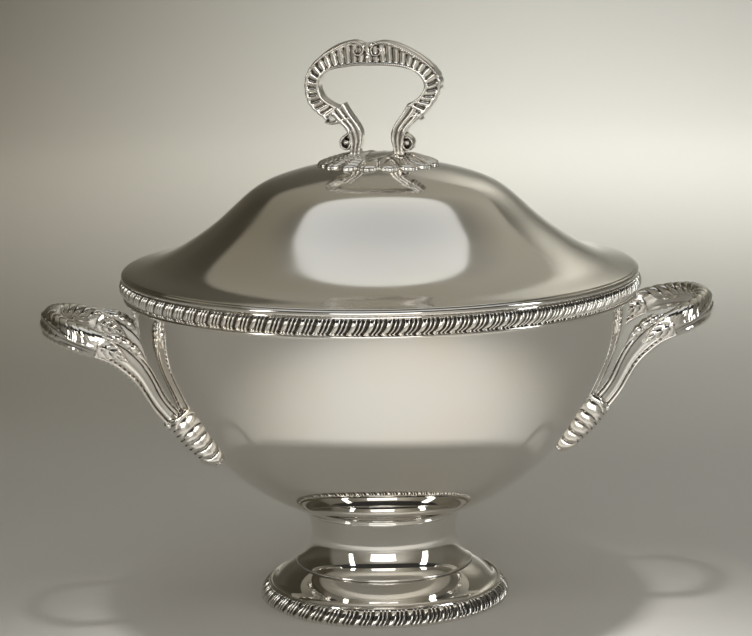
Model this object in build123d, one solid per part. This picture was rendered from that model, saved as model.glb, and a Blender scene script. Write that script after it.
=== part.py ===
from build123d import *
import math
import os

# Pedestal soup tureen. Millimetres, +Z up, origin on the table under the middle of the foot.
# The two side handles lie along X. Turned shapes are given as (radius, height) sections.

# ---- driving dimensions -------------------------------------------------------------------
SHEET = 1.6                 # thickness of the spun metal
# bowl: an ellipse turned about Z, cut off at the rim
BOWL_RADIUS = 138.0         # ellipse half-width
BOWL_DEPTH = 154.0          # ellipse half-height
BOWL_CENTRE_Z = 196.3       # height of the ellipse's centre
RIM_Z = 180.0               # top edge of the bowl, where the lid rests
# rim border: a bulging moulding under the bowl's edge
RIM_BORDER_RADIUS = 140.8
RIM_BORDER_LOW_Z = 168.7
RIM_BORDER_BULGE_Z = 175.3
RIM_BORDER_TOP_Z = 179.4
RIM_BORDER_ROLL = 1.8       # how far the bulge falls back at its top
RIM_BORDER_UNDERCUT = 3.0   # and at its bottom
RIM_BORDER_SEAT = 3.5       # reach into the bowl's wall, which is cut away from it
# foot
FOOT_SHIFT = 1.28           # inner surface of the foot's metal, moved in and down from the outer one
FOOT_RADIUS = 68.5
FOOT_BORDER_TOP_Z = 8.8
FOOT_BORDER_TOP_RADIUS = 62.8
FOOT_BORDER_SEAT_RADIUS = 66.6
SKIRT_INNER_RADIUS = 64.8
NECK_RADIUS = 39.9
NECK_Z = 35.0
STEP_RADIUS = 48.6
STEP_Z = 20.2
STEP_DROP = 1.2             # height of the small step under the neck's flare
SEAM_RADIUS = 43.2
SEAM_WIRE_RADIUS = 1.0
SEAM_SPAN = (40.0, 52.0)    # heights between which the wire is cut away inside the neck
# lid
LID_TOP_Z = 241.0
LID_LIP_RADIUS = 138.2
LID_EDGE_RADIUS = 139.8
LID_BEAD_RADIUS = 1.6
BEZEL_RADIUS = 133.6
BEZEL_THICKNESS = 1.4
BEZEL_LOW_Z = 172.0
BEZEL_TOP_Z = 184.2         # inside the dome's metal, which is cut away from it
# lid handle, turned about Z from the line of the side handles
LID_HANDLE_TURN = -18.5     # degrees
LID_HANDLE_DEPTH = 11.0
LID_HANDLE_LEG_Z = 241.2
LEG_OFFSET = 12.2           # from the axis to the middle of each leg
PLATE_LENGTH = 68.0
PLATE_WIDTH = 62.0
PLATE_THICKNESS = 4.0
STUD_RADIUS = 2.5
STUD_CLEARANCE = 0.2
STUD_TOP_Z = 249.0
STUD_LOW_Z = 231.0
THREAD_CLEARANCE = 0.05
WASHER_RADIUS = 5.5
WASHER_THICKNESS = 1.2
WASHER_TOP_Z = 238.4
NUT_FLATS = 8.0
NUT_HEIGHT = 4.0
# side handles
ARM_OFFSET = 35.0           # from the handle's middle plane to each arm
ARM_WIDTH = 12.0
ARM_THICKNESS = 7.0
GRIP_START_X = 152.0
GRIP_START_Z = 151.35
GRIP_REACH = 28.2           # along the tilted plane, from the arms' ends to the middle of the bend
GRIP_SLOPE = 0.3            # rise per unit run at the grip
GRIP_WIDTH = 13.5
GRIP_THICKNESS = 9.0
MOUNT_Z = 101.0             # height of each leaf mount's middle on the bowl
MOUNT_LENGTH = 36.0
MOUNT_WIDTH = 15.0
MOUNT_THICKNESS = 7.0


# ---- helpers ------------------------------------------------------------------------------
def turned(section):
    """A section drawn as (radius, height), turned about Z."""
    return revolve(Plane.XZ * section, Axis.Z)


def ellipse_of_bowl(extra=0.0):
    """The bowl's whole ellipse, grown by a given distance."""
    return Pos(0, BOWL_CENTRE_Z) * Ellipse(BOWL_RADIUS + extra, BOWL_DEPTH + extra)


def right_half(x_size, low, high):
    """A rectangle from the axis outwards, between two heights."""
    return Pos(x_size / 2, (low + high) / 2) * Rectangle(x_size, high - low)


def face_between(*edges):
    """A face inside edges that meet end to end."""
    return make_face(Wire(list(edges)))


def band(points, shift, tangents=None):
    """A strip between a smooth curve through points and the same curve moved by shift."""
    moved = [(r + shift[0], z + shift[1]) for r, z in points]
    upper = Spline(*points, tangents=tangents)
    lower = Spline(*moved, tangents=tangents)
    return face_between(upper, Line(points[-1], moved[-1]), lower, Line(points[0], moved[0]))


def bowl_radius_at(z):
    """Outer radius of the bowl at a height."""
    drop = (BOWL_CENTRE_Z - z) / BOWL_DEPTH
    return BOWL_RADIUS * math.sqrt(1 - drop * drop)


# ---- bowl and rim -------------------------------------------------------------------------
def bowl_shell():
    wall = ellipse_of_bowl() - ellipse_of_bowl(-SHEET)
    return turned(wall & right_half(BOWL_RADIUS + 10, 0, RIM_Z))


def rim_gadroon_border():
    low = (RIM_BORDER_RADIUS - RIM_BORDER_UNDERCUT, RIM_BORDER_LOW_Z)
    bulge = (RIM_BORDER_RADIUS, RIM_BORDER_BULGE_Z)
    top = (RIM_BORDER_RADIUS - RIM_BORDER_ROLL, RIM_BORDER_TOP_Z)
    inner_top = (BOWL_RADIUS - RIM_BORDER_SEAT, RIM_BORDER_TOP_Z)
    inner_low = (BOWL_RADIUS - RIM_BORDER_SEAT, RIM_BORDER_LOW_Z)
    section = face_between(
        ThreePointArc(low, bulge, top),
        Line(top, inner_top),
        Line(inner_top, inner_low),
        Line(inner_low, low),
    )
    return turned(section - ellipse_of_bowl())


# ---- foot ---------------------------------------------------------------------------------
NECK_CURVE = [
    (42.6, 50.5),
    (NECK_RADIUS + 0.7, 42.0),
    (NECK_RADIUS, NECK_Z),
    (41.8, 28.0),
    (45.4, 22.8),
    (STEP_RADIUS, STEP_Z),
]
BASE_CURVE = [
    (STEP_RADIUS, STEP_Z - STEP_DROP),
    (53.6, 15.8),
    (58.6, 11.6),
    (60.4, 9.9),
    (FOOT_BORDER_TOP_RADIUS, FOOT_BORDER_TOP_Z),
]


def neck_strip():
    return band(NECK_CURVE, (-FOOT_SHIFT, -FOOT_SHIFT))


def foot_neck():
    return turned(neck_strip() - ellipse_of_bowl())


def bowl_seam_z():
    """Height of the bowl's outside at the seam with the foot."""
    ratio = SEAM_RADIUS / BOWL_RADIUS
    return BOWL_CENTRE_Z - BOWL_DEPTH * math.sqrt(1 - ratio * ratio)


def foot_seam_wire():
    wire = Pos(SEAM_RADIUS, bowl_seam_z()) * Circle(SEAM_WIRE_RADIUS)
    inside_neck = right_half(NECK_CURVE[0][0] - FOOT_SHIFT / 2, *SEAM_SPAN)
    return turned(wire - ellipse_of_bowl() - neck_strip() - inside_neck)


def foot_base():
    inner = [(r - FOOT_SHIFT, z - FOOT_SHIFT) for r, z in BASE_CURVE]
    skirt_out = (FOOT_BORDER_SEAT_RADIUS, 0)
    skirt_in = (SKIRT_INNER_RADIUS, 0)
    section = face_between(
        Spline(*BASE_CURVE),
        Line(BASE_CURVE[-1], skirt_out),
        Line(skirt_out, skirt_in),
        Line(skirt_in, inner[-1]),
        Spline(*inner),
        Line(inner[0], BASE_CURVE[0]),
    )
    return turned(section - neck_strip())


def foot_gadroon_border():
    top_in = (FOOT_BORDER_TOP_RADIUS, FOOT_BORDER_TOP_Z)
    top_out = (FOOT_BORDER_TOP_RADIUS + 1.1, FOOT_BORDER_TOP_Z + 0.6)
    bulge = (FOOT_RADIUS - 0.6, 5.0)
    widest = (FOOT_RADIUS, 1.4)
    low_out = (FOOT_RADIUS - 0.5, 0)
    low_in = (FOOT_BORDER_SEAT_RADIUS, 0)
    section = face_between(
        Line(top_in, top_out),
        ThreePointArc(top_out, bulge, widest),
        Line(widest, low_out),
        Line(low_out, low_in),
        Line(low_in, top_in),
    )
    return turned(section)


# ---- lid ----------------------------------------------------------------------------------
LID_CURVE = [
    (0, LID_TOP_Z),
    (30, 238.4),
    (52, 233.0),
    (64, 227.9),
    (75, 219.6),
    (88, 208.0),
    (100, 199.2),
    (112, 192.0),
    (124, 187.0),
    (LID_LIP_RADIUS, 183.6),
]
LID_TANGENTS = ((1, 0), (1, -0.28))


def lid_section():
    dome = band(LID_CURVE, (0, -SHEET), LID_TANGENTS)
    lip_height = LID_CURVE[-1][1] - RIM_Z
    lip = Pos(LID_LIP_RADIUS - SHEET / 2, RIM_Z + lip_height / 2) * Rectangle(SHEET, lip_height)
    return dome + lip


def stud_places():
    """Middles of the two studs, in the turned line of the lid handle."""
    angle = math.radians(LID_HANDLE_TURN)
    return [Pos(s * LEG_OFFSET * math.cos(angle), s * LEG_OFFSET * math.sin(angle)) for s in (-1, 1)]


def stud_holes():
    height = STUD_TOP_Z - STUD_LOW_Z + 4
    middle = (STUD_TOP_Z + STUD_LOW_Z) / 2
    radius = STUD_RADIUS + STUD_CLEARANCE
    return [place * Pos(0, 0, middle) * Cylinder(radius, height) for place in stud_places()]


def lid_dome():
    dome = turned(lid_section())
    for hole in stud_holes():
        dome -= hole
    return dome


def lid_edge_bead():
    bead = Pos(LID_EDGE_RADIUS - LID_BEAD_RADIUS, RIM_Z + LID_BEAD_RADIUS) * Circle(LID_BEAD_RADIUS)
    inside = right_half(LID_LIP_RADIUS, RIM_Z - 5, RIM_Z + 10)
    return turned(bead - inside - lid_section())


def lid_bezel():
    ring = Pos(BEZEL_RADIUS - BEZEL_THICKNESS / 2, (BEZEL_TOP_Z + BEZEL_LOW_Z) / 2)
    section = ring * Rectangle(BEZEL_THICKNESS, BEZEL_TOP_Z - BEZEL_LOW_Z)
    return turned(section - lid_section())


# ---- lid handle ---------------------------------------------------------------------------
# Half outlines of the loop in its own plane, as (distance from the middle, height).
LOOP_OUTER = [
    (0, 303.2),
    (6, 305.6),
    (14, 304.4),
    (25, 298.8),
    (33.6, 291.0),
    (37.0, 283.0),
    (35.4, 274.6),
    (30.0, 267.0),
    (21.5, 261.4),
    (16.6, 254.4),
    (17.6, 246.6),
    (17.0, LID_HANDLE_LEG_Z),
]
LOOP_INNER = [
    (7.4, LID_HANDLE_LEG_Z),
    (7.2, 250.0),
    (8.6, 257.4),
    (14.0, 264.6),
    (23.0, 270.4),
    (28.2, 276.6),
    (28.6, 282.6),
    (23.6, 288.2),
    (12, 290.4),
    (0, 290.8),
]


def lid_handle_loop():
    half = face_between(
        Spline(*LOOP_OUTER),
        Line(LOOP_OUTER[-1], LOOP_INNER[0]),
        Spline(*LOOP_INNER),
        Line(LOOP_INNER[-1], LOOP_OUTER[0]),
    )
    outline = half + mirror(half, Plane.YZ)
    loop = extrude(Plane.XZ * outline, LID_HANDLE_DEPTH / 2, both=True)
    loop = Rot(0, 0, LID_HANDLE_TURN) * loop
    for hole in stud_holes():
        loop -= hole
    return loop


def lid_handle_leaf_plate():
    """An oval plate that follows the dome, with a hole for each stud."""
    layer = turned(band(LID_CURVE, (0, PLATE_THICKNESS), LID_TANGENTS))
    oval = Ellipse(PLATE_LENGTH / 2, PLATE_WIDTH / 2)
    prism = Pos(0, 0, LID_TOP_Z - 20) * extrude(oval, 40)
    plate = layer & (Rot(0, 0, LID_HANDLE_TURN) * prism)
    plate -= lid_handle_loop()
    for hole in stud_holes():
        plate -= hole
    return plate


def lid_handle_studs():
    height = STUD_TOP_Z - STUD_LOW_Z
    shank = Pos(0, 0, STUD_LOW_Z + height / 2) * Cylinder(STUD_RADIUS, height)
    return [place * shank for place in stud_places()]


def lid_handle_washers():
    ring = Cylinder(WASHER_RADIUS, WASHER_THICKNESS)
    ring -= Cylinder(STUD_RADIUS + STUD_CLEARANCE, WASHER_THICKNESS * 2)
    middle = WASHER_TOP_Z - WASHER_THICKNESS / 2
    return [place * Pos(0, 0, middle) * ring for place in stud_places()]


def lid_handle_nuts():
    hexagon = RegularPolygon(NUT_FLATS / 2, 6, major_radius=False) - Circle(STUD_RADIUS + THREAD_CLEARANCE)
    nut = extrude(hexagon, NUT_HEIGHT)
    low = WASHER_TOP_Z - WASHER_THICKNESS - NUT_HEIGHT
    return [place * Pos(0, 0, low) * nut for place in stud_places()]


# ---- side handles -------------------------------------------------------------------------
# Middle line of an arm in its vertical plane, as (x, z), from the bowl out to the grip.
ARM_LINE = [
    (109.0, 104.5),
    (122.0, 118.0),
    (130.5, 134.0),
    (142.5, 148.5),
    (GRIP_START_X, GRIP_START_Z),
]
ARM_BENDS = [14, 20, 14]


def arm(side):
    """One arm of the right-hand handle. side is -1 at the front and 1 at the rear."""
    y = side * ARM_OFFSET
    path = FilletPolyline(*[(x, y, z) for x, z in ARM_LINE], radius=ARM_BENDS)
    start = Plane(origin=path @ 0, x_dir=(0, 1, 0), z_dir=path % 0)
    section = start * RectangleRounded(ARM_THICKNESS, ARM_WIDTH, ARM_THICKNESS / 2 - 0.5)
    bar = sweep(section, path=path)
    return bar - turned(ellipse_of_bowl() & right_half(BOWL_RADIUS + 10, 0, RIM_Z))


def grip():
    """The outer bend of the right-hand handle, from one arm's end to the other's."""
    length = math.hypot(1, GRIP_SLOPE)
    along = (1 / length, 0, GRIP_SLOPE / length)
    up = (-GRIP_SLOPE / length, 0, 1 / length)
    plane = Plane(origin=(GRIP_START_X, 0, GRIP_START_Z), x_dir=along, z_dir=up)
    path = plane * EllipticalCenterArc((0, 0), GRIP_REACH, ARM_OFFSET, start_angle=-90, arc_size=180)
    start = Plane(origin=path @ 0, x_dir=(0, 1, 0), z_dir=along)
    section = start * RectangleRounded(GRIP_THICKNESS, GRIP_WIDTH, GRIP_THICKNESS / 2 - 0.5)
    return sweep(section, path=path)


def leaf_mount(side, arm_bar):
    """A leaf-shaped pad on the bowl under an arm's lower end."""
    radius = bowl_radius_at(MOUNT_Z)
    azimuth = math.asin(side * ARM_OFFSET / radius)
    out_r = radius / BOWL_RADIUS**2
    out_z = (MOUNT_Z - BOWL_CENTRE_Z) / BOWL_DEPTH**2
    normal = (out_r * math.cos(azimuth), out_r * math.sin(azimuth), out_z)
    place = (radius * math.cos(azimuth), side * ARM_OFFSET, MOUNT_Z)
    plane = Plane(origin=place, x_dir=(-math.sin(azimuth), math.cos(azimuth), 0), z_dir=normal)
    oval = plane * Ellipse(MOUNT_WIDTH / 2, MOUNT_LENGTH / 2)
    prism = extrude(oval, 14, both=True)
    ring = ellipse_of_bowl(MOUNT_THICKNESS) - ellipse_of_bowl()
    layer = turned(ring & right_half(BOWL_RADIUS + 10, 60, 150))
    return (prism & layer) - arm_bar


def side_handle():
    """The five pieces of the right-hand handle, by the last part of their names."""
    bars = {-1: arm(-1), 1: arm(1)}
    return {
        "grip": grip(),
        "front_arm": bars[-1],
        "rear_arm": bars[1],
        "front_leaf_mount": leaf_mount(-1, bars[-1]),
        "rear_leaf_mount": leaf_mount(1, bars[1]),
    }


# ---- the whole tureen ---------------------------------------------------------------------
def solids_of(shape):
    """One shape or a list of shapes, as the list of solids in it."""
    shapes = shape if isinstance(shape, list) else [shape]
    return [solid for s in shapes for solid in s.solids()]


def build():
    nodes = {
        "bowl_shell": bowl_shell(),
        "rim_gadroon_border": rim_gadroon_border(),
        "foot_neck": foot_neck(),
        "foot_seam_wire": foot_seam_wire(),
        "foot_base": foot_base(),
        "foot_gadroon_border": foot_gadroon_border(),
        "lid_dome": lid_dome(),
        "lid_edge_bead": lid_edge_bead(),
        "lid_bezel": lid_bezel(),
        "lid_handle_loop": lid_handle_loop(),
        "lid_handle_leaf_plate": lid_handle_leaf_plate(),
        "lid_handle_studs": lid_handle_studs(),
        "lid_handle_washers": lid_handle_washers(),
        "lid_handle_nuts": lid_handle_nuts(),
    }
    swapped = {"front": "rear", "rear": "front"}
    for name, shape in side_handle().items():
        first, _, rest = name.partition("_")
        left_name = f"{swapped[first]}_{rest}" if first in swapped else name
        nodes["right_handle_" + name] = shape
        nodes["left_handle_" + left_name] = Rot(0, 0, 180) * shape
    return nodes


os.makedirs("parts", exist_ok=True)
for name, shape in build().items():
    solids = solids_of(shape)
    export_step(Compound(children=solids) if len(solids) > 1 else solids[0], f"parts/{name}.step")
    print(name, len(solids), "solid(s)", round(sum(s.volume for s in solids)), "mm3")
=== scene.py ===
import math

import bpy
import numpy as np
from mathutils import Matrix, Vector


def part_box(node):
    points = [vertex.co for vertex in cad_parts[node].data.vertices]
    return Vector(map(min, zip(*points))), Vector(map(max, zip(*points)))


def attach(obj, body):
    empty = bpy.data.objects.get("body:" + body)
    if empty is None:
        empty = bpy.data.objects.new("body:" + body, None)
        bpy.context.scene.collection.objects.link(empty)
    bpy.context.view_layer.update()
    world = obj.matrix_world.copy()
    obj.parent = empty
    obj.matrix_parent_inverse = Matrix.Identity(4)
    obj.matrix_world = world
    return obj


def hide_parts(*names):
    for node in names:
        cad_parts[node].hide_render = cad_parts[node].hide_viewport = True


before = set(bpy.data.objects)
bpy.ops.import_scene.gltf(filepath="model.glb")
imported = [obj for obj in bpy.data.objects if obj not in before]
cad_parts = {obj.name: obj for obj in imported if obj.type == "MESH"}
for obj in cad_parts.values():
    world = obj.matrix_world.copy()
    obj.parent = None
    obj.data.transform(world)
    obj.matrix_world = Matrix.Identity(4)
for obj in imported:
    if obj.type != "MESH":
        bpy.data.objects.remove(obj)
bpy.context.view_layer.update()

# Pedestal soup tureen. Points and sizes are worked out in millimetres and stored in metres by new_piece.
# Rings and turned shapes are sections of (radius, height) points.
MM = 0.001

# ---- driving dimensions -------------------------------------------------------------------
SHEET = 1.6
BOWL_RADIUS = 138.0
BOWL_DEPTH = 154.0
BOWL_CENTRE_Z = 196.3
ROUND_STEPS = 320           # facets round a plain turned shape
RIM_REPEATS = 102           # gadroon groups round the rim, one wide lobe and two thin ones each
FOOT_REPEATS = 46
RIM_STEPS = 24              # facets round each group of gadroons
FOOT_STEPS = 36


def box_mm(node):
    low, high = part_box(node)
    return low / MM, high / MM


RIM_Z = box_mm("bowl_shell")[1].z
RIM_BORDER_LOW, RIM_BORDER_HIGH = box_mm("rim_gadroon_border")
FOOT_BORDER_HIGH = box_mm("foot_gadroon_border")[1]
LID_HIGH = box_mm("lid_dome")[1]
LID_EDGE_HIGH = box_mm("lid_edge_bead")[1]
BEZEL_LOW, BEZEL_HIGH = box_mm("lid_bezel")


# ---- curves -------------------------------------------------------------------------------
def spline(points, count, start=None, end=None):
    """count points on a smooth curve through points; start and end are its directions there, if given."""
    p = np.array(points, float)
    chord = np.linalg.norm(np.diff(p, axis=0), axis=1)
    t = np.concatenate([[0], np.cumsum(chord)])
    n = len(p)
    a = np.zeros((n, n))
    b = np.zeros_like(p)
    for i in range(1, n - 1):
        a[i, i - 1], a[i, i], a[i, i + 1] = chord[i], 2 * (chord[i - 1] + chord[i]), chord[i - 1]
        b[i] = 3 * (chord[i] * (p[i] - p[i - 1]) / chord[i - 1] + chord[i - 1] * (p[i + 1] - p[i]) / chord[i])
    for row, other, step, tangent in ((0, 1, chord[0], start), (n - 1, n - 2, chord[-1], end)):
        if tangent is None:
            a[row, row], a[row, other] = 2, 1
            b[row] = 3 * (p[max(row, other)] - p[min(row, other)]) / step
        else:
            a[row, row] = 1
            b[row] = np.array(tangent, float) / np.linalg.norm(tangent)
    slope = np.linalg.solve(a, b)
    at = np.linspace(0, t[-1], count)
    i = np.clip(np.searchsorted(t, at, side="right") - 1, 0, n - 2)
    h = chord[i][:, None]
    u = ((at - t[i])[:, None]) / h
    return (
        (2 * u**3 - 3 * u**2 + 1) * p[i]
        + (u**3 - 2 * u**2 + u) * h * slope[i]
        + (3 * u**2 - 2 * u**3) * p[i + 1]
        + (u**3 - u**2) * h * slope[i + 1]
    )


def full_turn(count):
    """count angles evenly round a circle."""
    return np.linspace(0, 2 * math.pi, count, endpoint=False)


def arc(centre, radius, start_deg, end_deg, count):
    angle = np.radians(np.linspace(start_deg, end_deg, count))
    return np.stack([centre[0] + radius * np.cos(angle), centre[1] + radius * np.sin(angle)], 1)


def line(a, b, count):
    """Points from a towards b, without b."""
    t = np.linspace(0, 1, count, endpoint=False)[:, None]
    return np.array(a, float) * (1 - t) + np.array(b, float) * t


def smooth_step(x, low, high):
    """Rises smoothly from 0 at low to 1 at high."""
    u = np.clip((np.asarray(x, float) - low) / (high - low), 0, 1)
    return u * u * (3 - 2 * u)


# ---- meshes -------------------------------------------------------------------------------
def new_piece(name, vertices, faces, hollow=None):
    """A smooth mesh piece from millimetre points. hollow, 0 to 1 at each vertex, darkens the metal with
    tarnish and painted shade.
    """
    mesh = bpy.data.meshes.new(name)
    mesh.from_pydata((np.asarray(vertices, float) * MM).tolist(), [], faces)
    if hollow is not None:
        values = mesh.attributes.new("hollow", "FLOAT", "POINT")
        values.data.foreach_set("value", np.asarray(hollow, np.float32).ravel())
    mesh.polygons.foreach_set("use_smooth", [True] * len(mesh.polygons))
    mesh.update()
    piece = bpy.data.objects.new(name, mesh)
    bpy.context.scene.collection.objects.link(piece)
    return piece


def grid_faces(rows, columns, wrap_rows, wrap_columns):
    """Quads over a grid of points, joined round on itself where wrapped."""
    faces = []
    for i in range(rows if wrap_rows else rows - 1):
        a, b = i * columns, (i + 1) % rows * columns
        for j in range(columns if wrap_columns else columns - 1):
            k = (j + 1) % columns
            faces.append((a + j, b + j, b + k, a + k))
    return faces


def turned(name, section, relief=None, steps=ROUND_STEPS):
    """Turns a closed section of (radius, height) points about Z.

    relief(angle, section) gives each point's shift in radius and height, and its hollow."""
    section = np.asarray(section, float)
    angle = full_turn(steps)[:, None]
    r = np.broadcast_to(section[:, 0], (steps, len(section)))
    z = np.broadcast_to(section[:, 1], (steps, len(section)))
    hollow = None
    if relief:
        dr, dz, hollow = relief(angle, section)
        r, z = r + dr, z + dz
    points = np.stack([r * np.cos(angle), r * np.sin(angle), z], -1).reshape(-1, 3)
    return new_piece(name, points, grid_faces(steps, len(section), True, True), hollow)


def turned_from_axis(name, section):
    """Turns a section whose first and last points lie on the axis."""
    section = np.asarray(section, float)
    ring = section[1:-1]
    angle = full_turn(ROUND_STEPS)[:, None]
    height = np.broadcast_to(ring[:, 1], (ROUND_STEPS, len(ring)))
    points = np.stack([ring[:, 0] * np.cos(angle), ring[:, 0] * np.sin(angle), height], -1).reshape(-1, 3)
    poles = [(0, 0, section[0][1]), (0, 0, section[-1][1])]
    faces = grid_faces(ROUND_STEPS, len(ring), True, False)
    n = len(points)
    for i in range(ROUND_STEPS):
        j = (i + 1) % ROUND_STEPS
        faces.append((n, j * len(ring), i * len(ring)))
        faces.append((n + 1, (i + 1) * len(ring) - 1, (j + 1) * len(ring) - 1))
    return new_piece(name, np.vstack([points, poles]), faces)


def finish_piece(piece, body, slot, material, *nodes):
    """Gives a piece its material and the body that it rides, and hides the CAD nodes that it replaces. slot
    is not used.
    """
    piece.data.materials.append(material)
    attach(piece, body)
    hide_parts(*nodes)


# ---- materials ----------------------------------------------------------------------------
# Colour of the tarnish with painted shade, mixed into the metal in its hollows.
TARNISH_AND_SHADE = (0.045, 0.038, 0.03)
WARM_TINT = (1.0, 0.975, 0.93)
HAIRLINE_DEPTH = 0.00002    # of the polishing marks, in metres


def colour_mix(nodes, links, factor, a, b):
    """A mix from a to b, each a colour or a socket, by a factor socket."""
    mix = nodes.new("ShaderNodeMix")
    mix.data_type = "RGBA"
    links.new(factor, mix.inputs["Factor"])
    for value, target in zip((a, b), [i for i in mix.inputs if i.type == "RGBA"]):
        if isinstance(value, tuple):
            target.default_value = (*value, 1)
        else:
            links.new(value, target)
    return [o for o in mix.outputs if o.type == "RGBA"][0]


def polished(name, colour, rough, scratch, tarnish_and_shade):
    """Polished metal: soft mottling, smudges, hairline polishing marks, and tarnish with painted shade in the
    hollows.
    """
    material = bpy.data.materials.new(name)
    material.use_nodes = True
    tree = material.node_tree
    nodes, links = tree.nodes, tree.links
    shader = nodes["Principled BSDF"]
    shader.inputs["Metallic"].default_value = 1.0
    place = nodes.new("ShaderNodeTexCoord")

    def noise(scale, detail, stretch=(1, 1, 1)):
        mapping = nodes.new("ShaderNodeMapping")
        mapping.inputs["Scale"].default_value = stretch
        links.new(place.outputs["Object"], mapping.inputs["Vector"])
        texture = nodes.new("ShaderNodeTexNoise")
        texture.inputs["Scale"].default_value = scale
        texture.inputs["Detail"].default_value = detail
        links.new(mapping.outputs["Vector"], texture.inputs["Vector"])
        return texture.outputs["Fac"]

    def ranged(value, low, high, to_low, to_high):
        span = nodes.new("ShaderNodeMapRange")
        span.inputs["From Min"].default_value = low
        span.inputs["From Max"].default_value = high
        span.inputs["To Min"].default_value = to_low
        span.inputs["To Max"].default_value = to_high
        links.new(value, span.inputs["Value"])
        return span.outputs["Result"]

    def summed(a, b):
        add = nodes.new("ShaderNodeMath")
        links.new(a, add.inputs[0])
        links.new(b, add.inputs[1])
        return add.outputs[0]

    warm = tuple(c * k for c, k in zip(colour, WARM_TINT))
    clean = colour_mix(nodes, links, ranged(noise(18, 4), 0.35, 0.7, 0, 1), colour, warm)
    # The hollows are darkened with tarnish and painted shade.
    hollow = nodes.new("ShaderNodeAttribute")
    hollow.attribute_name = "hollow"
    dark = ranged(hollow.outputs["Fac"], 0.2, 0.75, 0, tarnish_and_shade)
    links.new(colour_mix(nodes, links, dark, clean, TARNISH_AND_SHADE), shader.inputs["Base Color"])
    smudges = ranged(noise(26, 5), 0.3, 0.75, rough * 0.7, rough * 1.5)
    worn = ranged(hollow.outputs["Fac"], 0.2, 1.0, 0, 0.25 * tarnish_and_shade)
    links.new(summed(smudges, worn), shader.inputs["Roughness"])
    lines = noise(900, 2, (1, 1, 0.06))
    cross = noise(700, 3, (0.08, 1, 1))
    bump = nodes.new("ShaderNodeBump")
    bump.inputs["Strength"].default_value = scratch
    bump.inputs["Distance"].default_value = HAIRLINE_DEPTH
    links.new(summed(lines, cross), bump.inputs["Height"])
    links.new(bump.outputs["Normal"], shader.inputs["Normal"])
    return material


# Name, colour, roughness, strength of the polishing marks and strength of the tarnish with painted shade in
# the hollows.
SPUN = polished("silver_spun", (0.86, 0.845, 0.815), 0.04, 0.12, 0.0)
LID_SPUN = polished("silver_lid", (0.86, 0.845, 0.81), 0.11, 0.15, 0.0)
WIRE = polished("silver_wire", (0.86, 0.845, 0.815), 0.06, 0.1, 0.3)
BORDER = polished("silver_border", (0.86, 0.84, 0.8), 0.09, 0.1, 0.95)
CAST = polished("silver_cast", (0.87, 0.85, 0.815), 0.09, 0.1, 0.95)
BRASS = polished("brass_worn", (0.66, 0.47, 0.22), 0.24, 0.3, 0.0)

for fastener in ("lid_handle_studs", "lid_handle_washers", "lid_handle_nuts"):
    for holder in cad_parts[fastener].material_slots:
        holder.material = BRASS


# ---- bowl ---------------------------------------------------------------------------------
BOWL_STEPS = 90             # points up each side of the bowl's wall
LIP_ROUND = 0.5             # height over which the bowl's top edge is rounded


def bowl_curve(shrink, z_top, count):
    """The bowl's ellipse from the axis at the bottom up to a height, as (radius, height)."""
    depth = BOWL_DEPTH - shrink
    end = math.acos((BOWL_CENTRE_Z - z_top) / depth)
    angle = np.linspace(0, end, count)
    return np.stack([(BOWL_RADIUS - shrink) * np.sin(angle), BOWL_CENTRE_Z - depth * np.cos(angle)], 1)


def make_bowl():
    outside = bowl_curve(0, RIM_Z - LIP_ROUND, BOWL_STEPS)
    inside = bowl_curve(SHEET, RIM_Z - LIP_ROUND, BOWL_STEPS)[::-1]
    lip = spline([outside[-1], (outside[-1][0] - SHEET / 2, RIM_Z), inside[0]], 7, (0, 1), (0, -1))
    section = np.vstack([outside, lip[1:-1], inside])
    finish_piece(turned_from_axis("bowl", section), "bowl", "spun_silver", SPUN, "bowl_shell")


# ---- gadroon borders ----------------------------------------------------------------------
# Each group has one wide and two thin gadroons, as (middle, half width) in parts of the group.
GADROON_GROUP = ((0.2, 0.185), (0.545, 0.075), (0.79, 0.075))


def gadroons(angle, along, repeats, lean):
    """Height 0 to 1 of the gadroons at an angle, and at along 0 to 1 up the border.

    They stand upright at the top and sweep sideways by lean groups towards the bottom."""
    group = (angle / (2 * math.pi) * repeats + lean * (along - 1) ** 2) % 1
    height = np.zeros(np.broadcast(angle, along).shape)
    for middle, half_width in GADROON_GROUP:
        apart = np.abs((group - middle + 0.5) % 1 - 0.5)
        height = np.maximum(height, np.sqrt(np.clip(1 - (apart / half_width) ** 2, 0, 1)))
    return height


def border_relief(repeats, low, high, height, lean):
    """Relief for turned(): gadroons between two heights, fading at their ends.

    The section's third column is 1 on the border's face, which carries them, and 0 elsewhere."""

    def relief(angle, section):
        z, on_face = section[:, 1], section[:, 2]
        along = np.clip((z - low) / (high - low), 0, 1)
        ends = smooth_step(z, low - 0.1, low + 0.5) * (1 - smooth_step(z, high - 0.4, high + 0.1)) * on_face
        sunk = (1 - gadroons(angle, along[None, :], repeats, lean)) * ends[None, :]
        return -height * sunk, np.zeros_like(sunk), sunk

    return relief


def bordered(before, face, after):
    """A border's closed section, with the third column that border_relief reads."""
    on_face = np.concatenate([np.zeros(len(before)), np.ones(len(face)), np.zeros(len(after))])
    return np.column_stack([np.vstack([before, face, after]), on_face])


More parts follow.
